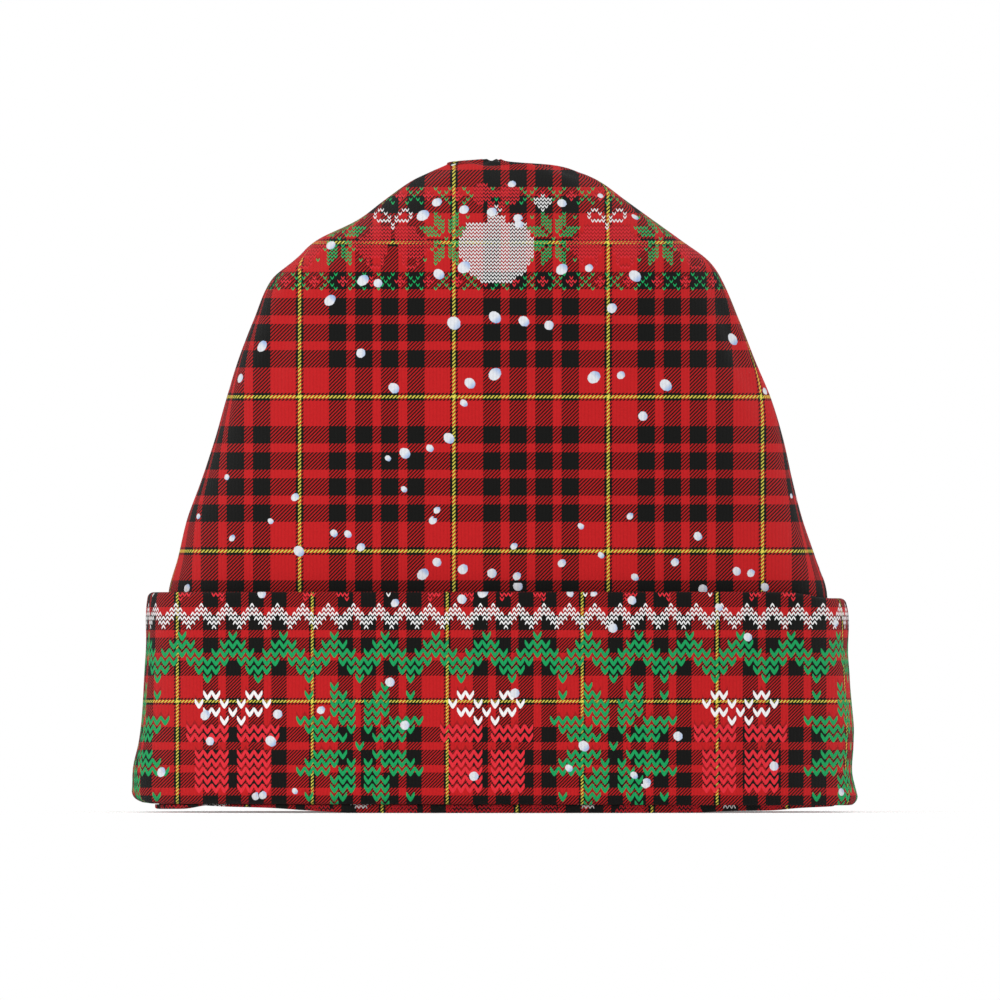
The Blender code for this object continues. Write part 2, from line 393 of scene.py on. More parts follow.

# %% [markdown]
# A dot that is listed looks round from the front, so depth counts for less in it than width and height. The
# light side of a dot is what was measured, and its middle lies about a pixel to the right of that and lower.
# The scatter keeps its dots apart and off the front and the tip's foremost side.

# %% Snow on the faces
TENTHS_IN_METRE = 10000
SNOW_MIDDLE = (0.9, 1.2)
SNOW_DEPTH = 0.4
SNOW_APART = 0.013
SNOW_REACH = 0.006
SNOW_SIDE = -0.012
SNOW_TURNED = -0.05
SNOW_TRIES = 900
SNOW_RADII = (0.001, 0.0019)


def front_faces(places):
    """A search tree of the front's faces by the place where each is seen."""
    front = kdtree.KDTree(len(places))
    for index, place in enumerate(places):
        if place.y < 0:
            x, z = seen_place(place)
            front.insert((x, 0, z), index)
    front.balance()
    return front


def sow_snow(bm, seed, foot, top):
    """Gives each outer face the nearest snow dot. Foot and top bound the part of the front it covers."""
    in_order(bm)
    bmesh.ops.recalc_face_normals(bm, faces=bm.faces)
    middles = bm.faces.layers.float_vector.new("snow_middle")
    radii = bm.faces.layers.float.new("snow_radius")
    depths = bm.faces.layers.float.new("snow_depth")
    outer = [face for face in bm.faces if face.normal.dot(face.calc_center_median()) > 0]
    places = [face.calc_center_median() for face in outer]
    front = front_faces(places)
    dots = []
    for x, y, size in SNOW:
        if foot < up(y) <= top:
            wanted = Vector((across(x + SNOW_MIDDLE[0]), 0, up(y + SNOW_MIDDLE[1])))
            seen, index, _ = front.find(wanted)
            dots.append((places[index] + wanted - seen, size / TENTHS_IN_METRE / 2, SNOW_DEPTH))
    placed = len(dots)
    chance = random.Random(seed)
    for index in chance.sample(range(len(places)), min(SNOW_TRIES, len(places))):
        place = places[index]
        turned = place.y > SNOW_SIDE and outer[index].normal.y > SNOW_TURNED
        if turned and all((place - dot[0]).length > SNOW_APART for dot in dots):
            dots.append((place, chance.uniform(*SNOW_RADII), 1.0))
    nearest = kdtree.KDTree(len(dots))
    for index, dot in enumerate(dots):
        nearest.insert(dot[0], index)
    nearest.balance()
    for face, place in zip(outer, places):
        _, index, distance = nearest.find(place)
        if distance < SNOW_REACH:
            face[middles], face[radii], face[depths] = dots[index]
    return placed, len(dots) - placed


print("scattered dots keep", SNOW_APART * 1000, "mm from the others")

# %% [markdown]
# Each finished piece of cloth stands for one solid of the frame and rides on its body. Its place is in its
# mesh, so the object itself stays at the origin.

# %% Finished piece
SHARP_ANGLE = 60


def make_piece(name, bm, node, material):
    """The finished piece, which stands for one solid of the frame."""
    mesh = bpy.data.meshes.new(name)
    bm.to_mesh(mesh)
    bm.free()
    mesh.shade_smooth()
    mesh.set_sharp_from_angle(angle=math.radians(SHARP_ANGLE))
    mesh.materials.append(material)
    piece = bpy.data.objects.new(name, mesh)
    bpy.context.collection.objects.link(piece)
    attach(piece, "root")
    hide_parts(node)
    print(name, len(mesh.polygons), "faces")


print("edges of more than", SHARP_ANGLE, "degrees stay sharp")

# %% [markdown]
# Materials are drawn from nodes. One small function adds a node, sets it and feeds its inputs, and the
# functions after it draw one thing each: the tartan, a field of knit stitches, a chart read stitch by stitch.

# %% Node helpers
def linear(code):
    """A colour given as it looks on a screen, in the linear values of a shader."""
    values = [int(code[i : i + 2], 16) / 255 for i in (0, 2, 4)]
    return (*[v / 12.92 if v <= 0.04045 else ((v + 0.055) / 1.055) ** 2.4 for v in values], 1.0)


def add(tree, kind, *fed, **settings):
    """Adds a node with its settings and feeds its inputs in order. None leaves an input as it is."""
    node = tree.nodes.new("ShaderNode" + kind)
    for name, value in settings.items():
        setattr(node, name, value)
    for socket, value in zip([socket for socket in node.inputs if socket.enabled], fed):
        if isinstance(value, bpy.types.NodeSocket):
            tree.links.new(value, socket)
        elif value is not None:
            socket.default_value = value
    return next(socket for socket in node.outputs if socket.enabled)


RED, BLACK, YELLOW = linear("BB1F22"), linear("161615"), linear("DFD552")
BRIGHT_RED, FAINT_RED = linear("DC2F3A"), linear("CF2A33")
GREEN, FRESH_GREEN = linear("1C9C5A"), linear("16A65C")
WHITE, SOFT_WHITE = linear("EEEEEE"), linear("E0E0E0")
SNOW_WHITE, SNOW_BLUE = linear("DADDE2"), linear("9DB6DC")
print("red is", [round(value, 3) for value in RED[:3]])

# %% [markdown]
# The tartan is woven colour by colour: one list of stripes, mirrored at its two ends, runs both ways. Where the
# two ways differ, a fine twill shows first one and then the other, with a painted shade for the gaps between
# its threads that makes it a little darker. The list gives each stripe's start, in pixels of the crown's print.

# %% Tartan
SETT = (
    # start, colour
    (0.0, YELLOW),
    (1.35, BLACK),
    (3.9, RED),
    (29.2, BLACK),
    (46.5, RED),
    (55.3, BLACK),
    (72.7, RED),
)
HALF_SETT = 77.1
TWILL_SHADE = 0.85
UNLIKE = 0.4


def tartan(tree, u, v, repeat, twill):
    """The tartan at a flat place, for the length of its whole repeat and of its twill in metres."""
    stripes = []
    for way in (u, v):
        halves = add(tree, "Math", way, 2 / repeat, operation="MULTIPLY")
        colour = add(tree, "ValToRGB", add(tree, "Math", halves, 1.0, operation="PINGPONG"))
        ramp = colour.node.color_ramp
        ramp.interpolation = "CONSTANT"
        ramp.elements[1].position = SETT[1][0] / HALF_SETT
        for start, _ in SETT[2:]:
            ramp.elements.new(start / HALF_SETT)
        for element, (_, paint) in zip(ramp.elements, SETT):
            element.color = paint
        stripes.append(colour)
    slant = add(tree, "Math", u, v, operation="SUBTRACT")
    threads = add(tree, "Math", slant, 1 / twill, operation="MULTIPLY")
    thread = add(tree, "Math", add(tree, "Math", threads, operation="FRACT"), 0.5, operation="LESS_THAN")
    woven = add(tree, "Mix", thread, *stripes, data_type="RGBA")
    # Painted shade: where the two ways differ, the twill is darkened as if by the gaps between its threads.
    unlike = add(tree, "Mix", 1.0, *stripes, data_type="RGBA", blend_type="DIFFERENCE")
    twill_gap_shade = add(tree, "MapRange", add(tree, "SeparateColor", unlike), 0.0, UNLIKE, 1.0, TWILL_SHADE)
    shade = add(tree, "CombineColor", twill_gap_shade, twill_gap_shade, twill_gap_shade)
    return add(tree, "Mix", 1.0, woven, shade, data_type="RGBA", blend_type="MULTIPLY")


print("half of the sett is", round(HALF_SETT * pixel * 1000, 1), "mm")

# %% [markdown]
# A knit stitch shows as a V, and the Vs of one column sit in each other. A V's lower edge rises from its foot
# in a curve, and its upper edge in a line up to a level top. So a field of stitches is worked out from the
# flat place alone, and one field serves all ornaments that are knit in it. Sizes are shares of a stitch.

# %% Knit stitches
V_RISE, V_CURVE, V_TOP = 0.72, 1.5, 0.58
THICK_FOOT, THIN_FOOT = -0.55, -0.42


def stitches(tree, u, v, width, pitch, foot):
    """The column and row of the stitch at a flat place, and whether its V covers the place."""
    share = add(tree, "Math", u, 1 / width, 0.5, operation="MULTIPLY_ADD")
    column = add(tree, "Math", share, operation="FLOOR")
    part = add(tree, "Math", share, column, operation="SUBTRACT")
    off_middle = add(tree, "Math", part, 2.0, -1.0, operation="MULTIPLY_ADD")
    side = add(tree, "Math", off_middle, operation="ABSOLUTE")
    bent = add(tree, "Math", side, V_CURVE, operation="POWER")
    lower = add(tree, "Math", bent, V_RISE, foot, operation="MULTIPLY_ADD")
    high = add(tree, "Math", v, 1 / pitch, operation="MULTIPLY")
    row = add(tree, "Math", add(tree, "Math", high, lower, operation="SUBTRACT"), operation="FLOOR")
    local = add(tree, "Math", high, row, operation="SUBTRACT")
    straight = add(tree, "Math", side, V_RISE, operation="MULTIPLY")
    upper = add(tree, "Math", straight, V_TOP, operation="MINIMUM")
    return column, row, add(tree, "Math", local, upper, operation="LESS_THAN")


print("a thick V covers", -THICK_FOOT, "of its stitch at the foot, a thin one", -THIN_FOOT)

# %% [markdown]
# An ornament is read from a chart of squares. Each line of the chart is kept as one binary number, in the
# steps of a colour ramp, and the column picks a digit of it. That takes a few nodes for a whole ornament,
# where a node for each stitch would take hundreds.

# %% Chart reader
def line_number(line):
    """A chart's line as a binary number, whose lowest digit is the first column."""
    return sum(2**place for place, mark in enumerate(line) if mark == "#")


def chart(tree, column, row, lines):
    """1 where a chart has a # at this column and row, both counted from 0, and 0 outside it."""
    lines = ("", *lines, "")
    bits = max(len(line) for line in lines)
    # Row 0 is the ramp's second step, and half a step more is its middle.
    share = add(tree, "Math", row, 1 / len(lines), 1.5 / len(lines), operation="MULTIPLY_ADD")
    colour = add(tree, "ValToRGB", share)
    ramp = colour.node.color_ramp
    ramp.interpolation = "CONSTANT"
    ramp.elements[1].position = 1 / len(lines)
    for step in range(2, len(lines)):
        ramp.elements.new(step / len(lines))
    for element, line in zip(ramp.elements, lines):
        element.color = (*[(line_number(line) + 0.5) / 2**bits] * 3, 1)
    number = add(tree, "SeparateColor", colour)
    power = add(tree, "Math", 2.0, add(tree, "Math", bits, column, operation="SUBTRACT"), operation="POWER")
    shifted = add(tree, "Math", add(tree, "Math", number, power, operation="MULTIPLY"), operation="FLOOR")
    return add(tree, "Math", shifted, 2.0, operation="MODULO")


print("the line #.## is kept as", line_number("#.##"))

# %% [markdown]
# The knit charts. A knit ornament is worked from a chart of squares, one square a stitch, so each is written
# here as one: from its middle column to the right, since they are all symmetrical. The star is also
# symmetrical up and down, so its chart starts from its middle row.

# %% Knit charts
STAR = ("#.......", "..####..", ".#.####.", ".##.####", ".###....", ".###....", "..##..#.", "...#....")
BIG_BOW = ("..##.", ".#..#", "#.##.", ".#...")
BIG_BOX = ("", "", "", "", ".#####", ".#####", "", ".####", ".####", ".####", ".####", ".####")
SMALL_BOW = ("...##.", "..#..#", ".#...#", ".####.", "#.....", "#.....")
BELL = (
    ".######", ".######", ".#######", ".#########", ".###########", "..##########", "..#########",
    "..########", "...######", "...#...#", "...#...#", "....###",
)
DIAMOND = ("#..", "###", "###", "##.", "#..")
CUT_RED = ("..........###", "..........#")
CUT_WHITE = ("#",)
BAUBLE_RING = ("#..", ".#.", "#..", "###", "###")
BAUBLE_BOW = ("...###.", "..#####", "#######", "#######", "..#####", ".##.##.", ".##....", "###....")
star_stitches = sum(
    (2 if column else 1) * (2 if row else 1)
    for row, line in enumerate(STAR)
    for column, mark in enumerate(line)
    if mark == "#"
)
print("the star has", star_stitches, "stitches")

# %% [markdown]
# Where a chart is knit, its paint covers only the Vs. The cloth that shows between them gets a painted shade,
# as if the stitches stood up from it. An ornament repeats round the hat, so it is read by the distance from the
# nearest of its middles.

# %% Knit ornaments
STITCH_GAP_SHADE = 0.35


def both(tree, *masks):
    """Where all of the masks are 1."""
    result = masks[0]
    for mask in masks[1:]:
        result = add(tree, "Math", result, mask, operation="MULTIPLY")
    return result


def knit(tree, colour, ink, mask, paint):
    """Prints the stitches inside a mask, and paints shade on the cloth between them."""
    # Painted shade: the cloth between the stitches is mixed towards black.
    shade = add(tree, "Math", mask, STITCH_GAP_SHADE, operation="MULTIPLY")
    shaded = add(tree, "Mix", shade, colour, BLACK, data_type="RGBA")
    return add(tree, "Mix", both(tree, ink, mask), shaded, paint, data_type="RGBA")


def away(tree, value, repeat, start=0.0):
    """The distance of a column from the nearest middle of an ornament that repeats."""
    shifted = add(tree, "Math", value, -start, operation="ADD")
    return add(tree, "Math", shifted, repeat / 2, operation="PINGPONG")


print("cloth between stitches is", STITCH_GAP_SHADE, "of the way to black")

# %% [markdown]
# The snow's dots lie over the print. Each is a little oval, with a rough edge, and leans and is shaded to a
# side of its own: a sine of its radius stands for chance.

# %% Snow on the cloth
SNOW_EDGE = 0.00012
SNOW_ROUGH = 0.00025
SNOW_LEAN = 0.22
SNOW_LIT = 0.8
CHANCE_SCALE = 90000.0


def snowed(tree, colour, place, fuzz):
    """The colour with the snow dot of this face drawn over it."""
    middle = add(tree, "Attribute", attribute_name="snow_middle").node.outputs["Vector"]
    radius = add(tree, "Attribute", attribute_name="snow_radius").node.outputs["Fac"]
    depth = add(tree, "Attribute", attribute_name="snow_depth").node.outputs["Fac"]
    apart = add(tree, "VectorMath", place, middle, operation="SUBTRACT")
    right, behind, above = add(tree, "SeparateXYZ", apart).node.outputs
    large = add(tree, "Math", radius, CHANCE_SCALE, operation="MULTIPLY")
    chance = add(tree, "Math", large, operation="SINE")
    lean = add(tree, "Math", above, SNOW_LEAN, operation="MULTIPLY")
    slant = add(tree, "Math", chance, lean, right, operation="MULTIPLY_ADD")
    oval = add(tree, "CombineXYZ", slant, add(tree, "Math", behind, depth, operation="MULTIPLY"), above)
    length = add(tree, "VectorMath", oval, operation="LENGTH").node.outputs["Value"]
    rough = add(tree, "Math", fuzz, 2 * SNOW_ROUGH, -SNOW_ROUGH, operation="MULTIPLY_ADD")
    distance = add(tree, "Math", length, rough, operation="ADD")
    inside = add(tree, "Math", radius, distance, operation="SUBTRACT")
    on_dot = add(tree, "MapRange", inside, 0.0, SNOW_EDGE)
    lit = add(tree, "Math", right, -SNOW_LIT, operation="MULTIPLY")
    tipped = add(tree, "Math", above, chance, lit, operation="MULTIPLY_ADD")
    shade = add(tree, "MapRange", add(tree, "Math", tipped, radius, operation="DIVIDE"), -1.0, 0.0)
    snow = add(tree, "Mix", shade, SNOW_BLUE, SNOW_WHITE, data_type="RGBA")
    return add(tree, "Mix", on_dot, colour, snow, data_type="RGBA")


print(f"a snow dot's edge is {SNOW_EDGE * 1000:.2f} mm soft")

# %% [markdown]
# Printed jersey. The ink lies in the cloth, so ink and cloth share one matt surface, with next to no gloss.
# Over the print come fine lines of painted shade between the wales of the knit, and a bump of small Vs with
# fuzz. Real wales are about 0.6 mm apart, which is too fine to show here, so they are drawn nearly twice as
# coarse.

# %% Jersey
WALE = 0.0011
COURSE = 0.0009
GROOVE_HALF, GROOVE_SHADE = 0.22, 0.88
FUZZ_SCALE, FUZZ_DETAIL = 1400.0, 2.0
FUZZ_DARK, FUZZ_LIGHT = 0.94, 1.04
V_RELIEF, FUZZ_RELIEF = 0.35, 0.5
BUMP_STRENGTH, BUMP_DEPTH = 0.35, 0.00012


def printed_jersey(name, draw):
    """Jersey whose print is drawn by a function of the tree and the flat place."""
    material = bpy.data.materials.new(name)
    material.use_nodes = True
    tree = material.node_tree
    shader = tree.nodes["Principled BSDF"]
    flat = add(tree, "SeparateXYZ", add(tree, "UVMap", uv_map="print"))
    u, v = flat.node.outputs[0], flat.node.outputs[1]
    place = add(tree, "TexCoord").node.outputs["Object"]
    fuzz = add(tree, "TexNoise", place, FUZZ_SCALE, FUZZ_DETAIL)
    colour = snowed(tree, draw(tree, u, v), place, fuzz)

    share = add(tree, "Math", u, 1 / WALE, 0.5, operation="MULTIPLY_ADD")
    groove = add(tree, "Math", share, 0.5, operation="PINGPONG")
    # Painted shade: fine darker lines in the grooves between the wales, times a speckle of random tone.
    line = add(tree, "MapRange", groove, 0.0, GROOVE_HALF, GROOVE_SHADE, 1.0)
    speckle = add(tree, "MapRange", fuzz, 0.3, 0.7, FUZZ_DARK, FUZZ_LIGHT)
    groove_shade_and_speckle = add(tree, "Math", line, speckle, operation="MULTIPLY")
    dimmed = add(tree, "CombineColor", groove_shade_and_speckle, groove_shade_and_speckle, groove_shade_and_speckle)
    colour = add(tree, "Mix", 1.0, colour, dimmed, data_type="RGBA", blend_type="MULTIPLY")
    tree.links.new(colour, shader.inputs["Base Color"])
    shader.inputs["Roughness"].default_value = 0.85
    shader.inputs["Specular IOR Level"].default_value = 0.06
    shader.inputs["Sheen Weight"].default_value = 0.01
    shader.inputs["Sheen Roughness"].default_value = 0.5

    _, _, stitch = stitches(tree, u, v, WALE, COURSE, THICK_FOOT)
    wale = add(tree, "MapRange", groove, 0.0, 0.5, 0.0, 1.0, interpolation_type="SMOOTHSTEP")
    knitted = add(tree, "Math", stitch, V_RELIEF, wale, operation="MULTIPLY_ADD")
    height = add(tree, "Math", fuzz, FUZZ_RELIEF, knitted, operation="MULTIPLY_ADD")
    bumped = add(tree, "Bump", BUMP_STRENGTH, BUMP_DEPTH)
    tree.links.new(height, bumped.node.inputs["Height"])
    tree.links.new(bumped, shader.inputs["Normal"])
    return material


print(f"wales {WALE * 1000} mm apart")

# %% [markdown]
# The crown's print: tartan with one band of small ornaments near the top. They all stand on one field of
# small stitches, which serves stars, bells, the bauble and the two lattices of the band. Two places of the
# photograph, in pixels, put the print on the cloth: a crossing of yellow lines and the middle of a star. The
# repeats are measured in pixels too.

# %% Places on the crown
CROWN_CROSSING = (453.9, 396.8)
CROWN_REPEAT = 154.3 * pixel
CROWN_TWILL = 3.75 * pixel
CROWN_STAR = (446.4, 238.9)
SMALL_STITCH = 3.57 * pixel


def moved(tree, u, v, x, y):
    """The flat place measured from a place in the photograph."""
    return (
        add(tree, "Math", u, -across(x), operation="ADD"),
        add(tree, "Math", v, -up(y), operation="ADD"),
    )


print(f"small stitches are {SMALL_STITCH * 1000:.2f} mm wide")

# %% [markdown]
# A plain white bauble hangs at the front's middle and again at the back's. It is a circle counted in
# stitches, cut level at its top, with a ring and a faint red bow over it. A small white diamond is beside it.

# %% Bauble
BAUBLE_APART, BAUBLE_COLUMN = 150, 14
BAUBLE_LOW, BAUBLE_RADIUS, BAUBLE_LEVEL = 2.4, 10.44, 4.5
BAUBLE_RING_TOP, BAUBLE_BOW_TOP = 9.0, 15.0
DIAMOND_COLUMN, DIAMOND_TOP = 27, 12.0


def hang_bauble(tree, colour, column, row, ink, beside):
    """Prints the bauble with its ring and bow, and the diamond beside it."""
    from_bow = add(tree, "Math", BAUBLE_BOW_TOP, row, operation="SUBTRACT")
    colour = knit(tree, colour, ink, chart(tree, beside, from_bow, BAUBLE_BOW), FAINT_RED)
    rise = add(tree, "Math", row, BAUBLE_LOW, operation="ADD")
    rise_squared = add(tree, "Math", rise, rise, operation="MULTIPLY")
    square = add(tree, "Math", beside, beside, rise_squared, operation="MULTIPLY_ADD")
    in_circle = add(tree, "Math", square, BAUBLE_RADIUS**2, operation="LESS_THAN")
    ball = both(tree, in_circle, add(tree, "Math", row, BAUBLE_LEVEL, operation="LESS_THAN"))
    from_ring = add(tree, "Math", BAUBLE_RING_TOP, row, operation="SUBTRACT")
    ring = chart(tree, beside, from_ring, BAUBLE_RING)
    from_diamond = add(tree, "Math", DIAMOND_TOP, row, operation="SUBTRACT")
    diamond = chart(tree, away(tree, column, BAUBLE_APART, DIAMOND_COLUMN), from_diamond, DIAMOND)
    hung = add(tree, "Math", ball, ring, operation="MAXIMUM")
    white = add(tree, "Math", hung, diamond, operation="MAXIMUM")
    return knit(tree, colour, ink, white, SOFT_WHITE)


print(f"the bauble is {2 * BAUBLE_RADIUS * SMALL_STITCH * 1000:.0f} mm across")

# %% [markdown]
# The band has a lattice above and below its stars: green crosses whose gaps are filled with red. A pair of
# faint bells under a white bow hangs between each star and the next, but not under the bauble.

# %% Print of the crown
STAR_APART = 30
LATTICE_APART, LATTICE_START, LATTICE_ROW, LATTICE_HALF = 8, -1, 12.0, 2.5
BOW_TOP, BELL_TOP = 8.0, 3.0
BAUBLE_CLEAR = 13.5


def draw_crown(tree, u, v):
    """The crown's tartan and the band on it."""
    colour = tartan(tree, *moved(tree, u, v, *CROWN_CROSSING), CROWN_REPEAT, CROWN_TWILL)
    from_star = moved(tree, u, v, *CROWN_STAR)
    column, row, ink = stitches(tree, *from_star, SMALL_STITCH, SMALL_STITCH, THIN_FOOT)
    height = add(tree, "Math", row, operation="ABSOLUTE")

    above = add(tree, "Math", height, LATTICE_ROW, operation="SUBTRACT")
    band = add(tree, "Math", above, operation="ABSOLUTE")
    cross = away(tree, column, LATTICE_APART, LATTICE_START)
    in_band = add(tree, "Math", band, LATTICE_HALF, operation="LESS_THAN")
    lattice = both(tree, in_band, add(tree, "Math", band, cross, 0.5, operation="COMPARE"))
    inside = add(tree, "Math", band, cross, operation="SUBTRACT")
    filled = add(tree, "Math", inside, -LATTICE_HALF, operation="LESS_THAN")
    colour = knit(tree, colour, ink, lattice, FRESH_GREEN)
    colour = knit(tree, colour, ink, filled, BRIGHT_RED)

    star = chart(tree, away(tree, column, STAR_APART), height, STAR)
    colour = knit(tree, colour, ink, star, FRESH_GREEN)
    beside = away(tree, column, BAUBLE_APART, BAUBLE_COLUMN)
    clear = add(tree, "Math", beside, BAUBLE_CLEAR, operation="GREATER_THAN")
    middle = away(tree, column, STAR_APART, STAR_APART / 2)
    bell = chart(tree, middle, add(tree, "Math", BELL_TOP, row, operation="SUBTRACT"), BELL)
    colour = knit(tree, colour, ink, both(tree, bell, clear), FAINT_RED)
    bow = chart(tree, middle, add(tree, "Math", BOW_TOP, row, operation="SUBTRACT"), SMALL_BOW)
    colour = knit(tree, colour, ink, both(tree, bow, clear), SOFT_WHITE)
    return hang_bauble(tree, colour, column, row, ink, beside)


crown_jersey = printed_jersey("crown_printed_jersey", draw_crown)
print(len(crown_jersey.node_tree.nodes), "nodes")

# %% [markdown]
# The cuff's print: a finer tartan, and on a field of large stitches a green zigzag over a row of stars and
# gifts. Above them runs a small white zigzag whose stitches point up. It is mirrored at the front's middle,
# and so are the ends of the ornaments above it, which the cuff's upper fold cuts off. Places and lengths are
# pixels of the photograph here too.

# %% Places on the cuff
CUFF_CROSSING = (447.2, 701.3)
CUFF_REPEAT = 134.95 * pixel
CUFF_TWILL = 3.4 * pixel
CUFF_STAR = (359.7, 746.3)
BIG_STITCH = 8.46 * pixel
EDGE_MIDDLE = (486.85, 604.8)
EDGE_START = 6.4 * pixel
EDGE_STITCH = (4.23 * pixel, 4.35 * pixel)
CUT_START = 92.0 * pixel
CUT_RISE = 9.8 * pixel
CUT_STITCH = (4.16 * pixel, 4.35 * pixel)
print(f"big stitches are {BIG_STITCH * 1000:.2f} mm wide")

# %% Upper edge of the cuff
ZIGZAG_APART = 6


def zigzag(tree, column, from_top, start):
    """A band three stitches thick that steps down and up again every six columns."""
    below = add(tree, "Math", from_top, away(tree, column, ZIGZAG_APART, start), operation="SUBTRACT")
    return add(tree, "Math", below, 1.0, 1.5, operation="COMPARE")


def draw_edge(tree, colour, u, v):
    """Prints the small white zigzag and the cut ends above it."""
    from_middle, above = moved(tree, u, v, *EDGE_MIDDLE)
    outwards = add(tree, "Math", from_middle, operation="ABSOLUTE")
    mirrored = add(tree, "Math", outwards, -EDGE_START, operation="ADD")
    turned_over = add(tree, "Math", above, -1.0, operation="MULTIPLY")
    column, row, ink = stitches(tree, mirrored, turned_over, *EDGE_STITCH, THIN_FOOT)
    colour = knit(tree, colour, ink, zigzag(tree, column, row, 0), WHITE)

    sideways = add(tree, "Math", mirrored, -CUT_START, operation="ADD")
    folded_over = add(tree, "Math", above, -CUT_RISE, operation="ADD")
    column, row, ink = stitches(tree, sideways, folded_over, *CUT_STITCH, THIN_FOOT)
    apart = away(tree, column, STAR_APART)
    below = add(tree, "Math", row, -1.0, operation="MULTIPLY")
    colour = knit(tree, colour, ink, chart(tree, apart, below, CUT_RED), BRIGHT_RED)
    return knit(tree, colour, ink, chart(tree, apart, below, CUT_WHITE), WHITE)


print("the zigzags repeat every", ZIGZAG_APART, "stitches")

# %% Print of the cuff
PEAK_TOP, PEAK_START = 13.0, -3
GIFT_TOP = 6.0


def draw_cuff(tree, u, v):
    """The cuff's tartan, its green zigzag over stars and gifts, and its upper edge."""
    colour = tartan(tree, *moved(tree, u, v, *CUFF_CROSSING), CUFF_REPEAT, CUFF_TWILL)
    from_star = moved(tree, u, v, *CUFF_STAR)
    column, row, ink = stitches(tree, *from_star, BIG_STITCH, BIG_STITCH, THICK_FOOT)
    height = add(tree, "Math", row, operation="ABSOLUTE")
    star = chart(tree, away(tree, column, STAR_APART), height, STAR)
    from_peaks = add(tree, "Math", PEAK_TOP, row, operation="SUBTRACT")
    green = add(tree, "Math", star, zigzag(tree, column, from_peaks, PEAK_START), operation="MAXIMUM")
    colour = knit(tree, colour, ink, green, GREEN)
    beside = away(tree, column, STAR_APART, STAR_APART / 2)
    from_gift = add(tree, "Math", GIFT_TOP, row, operation="SUBTRACT")
    colour = knit(tree, colour, ink, chart(tree, beside, from_gift, BIG_BOX), BRIGHT_RED)
    colour = knit(tree, colour, ink, chart(tree, beside, from_gift, BIG_BOW), WHITE)
    return draw_edge(tree, colour, u, v)


cuff_jersey = printed_jersey("cuff_printed_jersey", draw_cuff)
print(len(cuff_jersey.node_tree.nodes), "nodes")

# %% [markdown]
# The hem's print: the next part of the same cloth, turned under, so its small stitches stand upside down.
# Only a strip shows, with runs of red stitches and a few white ones on the tartan. It lies in the cuff's shade
# but should look hardly darker, so its tartan gets painted light: it is brightened and hazed a little towards
# white.

# %% Print of the hem
HEM_RUNS = ("###......#####", "##......######", ".......#######", "......########")
HEM_CROSSING = (517.0, 842.0)
HEM_MIDDLE = 474.5
HEM_START = 113.5 * pixel
HEM_DROP = 1.8 * pixel
HEM_APART = 34
HEM_WHITE = 3.5
HEM_RUN_TOP = 3.0
HEM_PAINTED_LIGHT = 1.8
HEM_PAINTED_LIGHT_MIX = 0.008


def draw_hem(tree, u, v):
    """The hem's tartan, brightened by painted light, and its runs of stitches, mirrored at the front's middle.
    """
    colour = tartan(tree, *moved(tree, u, v, *HEM_CROSSING), CUFF_REPEAT, CUFF_TWILL)
    # Painted light: the tartan is brightened and mixed a little with white to undo the cuff's shade.
    painted_light = (HEM_PAINTED_LIGHT, HEM_PAINTED_LIGHT, HEM_PAINTED_LIGHT, 1)
    colour = add(tree, "Mix", 1.0, colour, painted_light, data_type="RGBA", blend_type="MULTIPLY")
    colour = add(tree, "Mix", HEM_PAINTED_LIGHT_MIX, colour, WHITE, data_type="RGBA")
    turned_over = add(tree, "Math", v, -1.0, -HEM_DROP, operation="MULTIPLY_ADD")
    from_middle = add(tree, "Math", u, -across(HEM_MIDDLE), operation="ADD")
    outwards = add(tree, "Math", from_middle, operation="ABSOLUTE")
    sideways = add(tree, "Math", outwards, -HEM_START, operation="ADD")
    column, row, ink = stitches(tree, sideways, turned_over, *CUT_STITCH, THIN_FOOT)
    apart = away(tree, column, HEM_APART)
    runs = chart(tree, apart, add(tree, "Math", row, HEM_RUN_TOP, operation="ADD"), HEM_RUNS)
    near = add(tree, "Math", apart, HEM_WHITE, operation="LESS_THAN")
    paint = add(tree, "Mix", near, BRIGHT_RED, WHITE, data_type="RGBA")
    return add(tree, "Mix", both(tree, ink, runs), colour, paint, data_type="RGBA")


hem_jersey = printed_jersey("hem_printed_jersey", draw_hem)
print(len(hem_jersey.node_tree.nodes), "nodes")

# %% [markdown]
# The crown. On the real hat it is a tube of printed jersey with its lining, gathered at the top and sewn up
# the sides. It could be simulated as cloth over a head, but the photograph shows it standing empty, so it is
# a loft whose outside follows the table and whose inside lies one thickness of cloth further in.

# %% Rings of the crown
RING_STEP = 0.0014
FINE_STEP = 0.00002
LAST_STEP = 0.0001
SWELL_SEED = 3.0
OUT_OF_CUFF = (0.060, 0.085)
UNDER_TIP = (0.004, 0.03)
SEAM_END = (0.004, 0.02)


def crown_section(z, inset, grow=0.0):
    """The crown's half-width, half-depth, lean, pucker and share of the height, for a ring at z."""
    tall = (hat_height - skirt_foot) / (hat_height - inset - skirt_foot)
    share = (skirt_foot + (z - skirt_foot) * tall) / hat_height
    width, depth, lean, pucker = read_rows(CROWN_ROWS, share)
    half_width = width * (crown_half_width - inset) + grow
    half_depth = depth * (crown_half_depth - inset) + grow
    return half_width, half_depth, lean * crown_half_width, pucker, share


